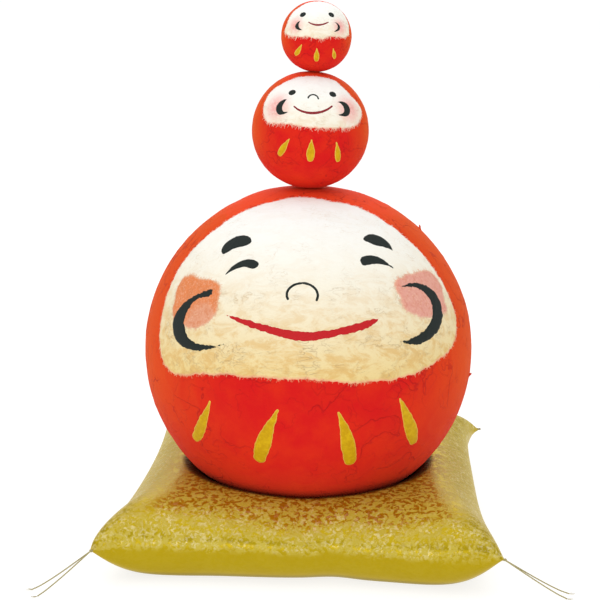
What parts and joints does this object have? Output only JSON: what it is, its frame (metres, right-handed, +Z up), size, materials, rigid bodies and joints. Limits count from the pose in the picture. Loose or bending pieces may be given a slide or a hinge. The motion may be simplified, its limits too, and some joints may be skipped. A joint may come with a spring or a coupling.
{
  "type": "daruma doll",
  "caption": "Round papier-mache daruma dolls stacked by size on pegs, with smiling painted faces, on a square brocade cushion with thread corners.",
  "frame": {"origin": "on the table at the middle of the cushion's underside, under the large doll's axis", "axes": "+Z up, -Y the way the dolls face, +X to the right of someone who looks at the faces"},
  "size_m": [0.2254, 0.2085, 0.2412],
  "materials": {
    "gold_brocade": "satin woven gold brocade",
    "wadding": "loose cotton wadding",
    "gold_thread": "twisted thread",
    "pulp_board": "raw moulded pulp",
    "joint_paper": "plain glued paper",
    "clay": "unglazed",
    "softwood": "turned, bare",
    "bamboo": "bare",
    "red_paper": "matte dyed washi, wrinkled",
    "white_paper": "matte washi with torn edge",
    "orange_paper": "matte dyed washi with torn edge",
    "pink_paper": "matte dyed washi with torn edge",
    "black_ink": "matte ink",
    "vermilion_paint": "matte paint",
    "gold_paint": "satin gold paint"
  },
  "bodies": {
    "cushion": {"closing_stitches": "gold_thread", "corner_thread_back_left": "gold_thread", "corner_thread_back_right": "gold_thread", "corner_thread_front_left": "gold_thread", "corner_thread_front_right": "gold_thread", "cushion_cover": "gold_brocade", "cushion_filling": "wadding"},
    "large_doll": {"large_base_paper": "red_paper", "large_beard": "black_ink", "large_cheek_left": "orange_paper", "large_cheek_right": "pink_paper", "large_eyebrows": "black_ink", "large_eyes": "black_ink", "large_face_paper": "white_paper", "large_joint_strip": "joint_paper", "large_marks": "gold_paint", "large_mouth": "vermilion_paint", "large_nose": "black_ink", "large_peg_block": "softwood", "large_red_paper": "red_paper", "large_shell_lower": "pulp_board", "large_shell_upper": "pulp_board", "large_weight": "clay"},
    "middle_peg": {"middle_peg": "bamboo"},
    "middle_doll": {"middle_beard": "black_ink", "middle_eyes": "black_ink", "middle_face_paper": "white_paper", "middle_marks": "gold_paint", "middle_mouth": "vermilion_paint", "middle_nose": "black_ink", "middle_post": "softwood", "middle_red_paper": "red_paper", "middle_shell_lower": "pulp_board", "middle_shell_upper": "pulp_board"},
    "small_peg": {"small_peg": "bamboo"},
    "small_doll": {"small_beard": "black_ink", "small_core": "softwood", "small_eyes": "black_ink", "small_face_paper": "white_paper", "small_marks": "gold_paint", "small_mouth": "vermilion_paint", "small_red_paper": "red_paper"}
  },
  "joints": [
    {"name": "large_lift", "type": "slide", "parent": "cushion", "child": "large_doll", "axis": [0, 0, 1], "range_m": [0, 0.05]},
    {"name": "middle_lift", "type": "slide", "parent": "large_doll", "child": "middle_peg", "axis": [0.0621, 0, 0.9981], "range_m": [0, 0.03]},
    {"name": "middle_turn", "type": "hinge", "parent": "middle_peg", "child": "middle_doll", "pos_m": [0.00085, 0, 0.18442], "axis": [0.0621, 0, 0.9981], "continuous": true},
    {"name": "small_lift", "type": "slide", "parent": "middle_doll", "child": "small_peg", "axis": [0.0621, 0, 0.9981], "range_m": [0, 0.02]},
    {"name": "small_turn", "type": "hinge", "parent": "small_peg", "child": "small_doll", "pos_m": [0.00342, 0, 0.22573], "axis": [0.0621, 0, 0.9981], "continuous": true}
  ]
}
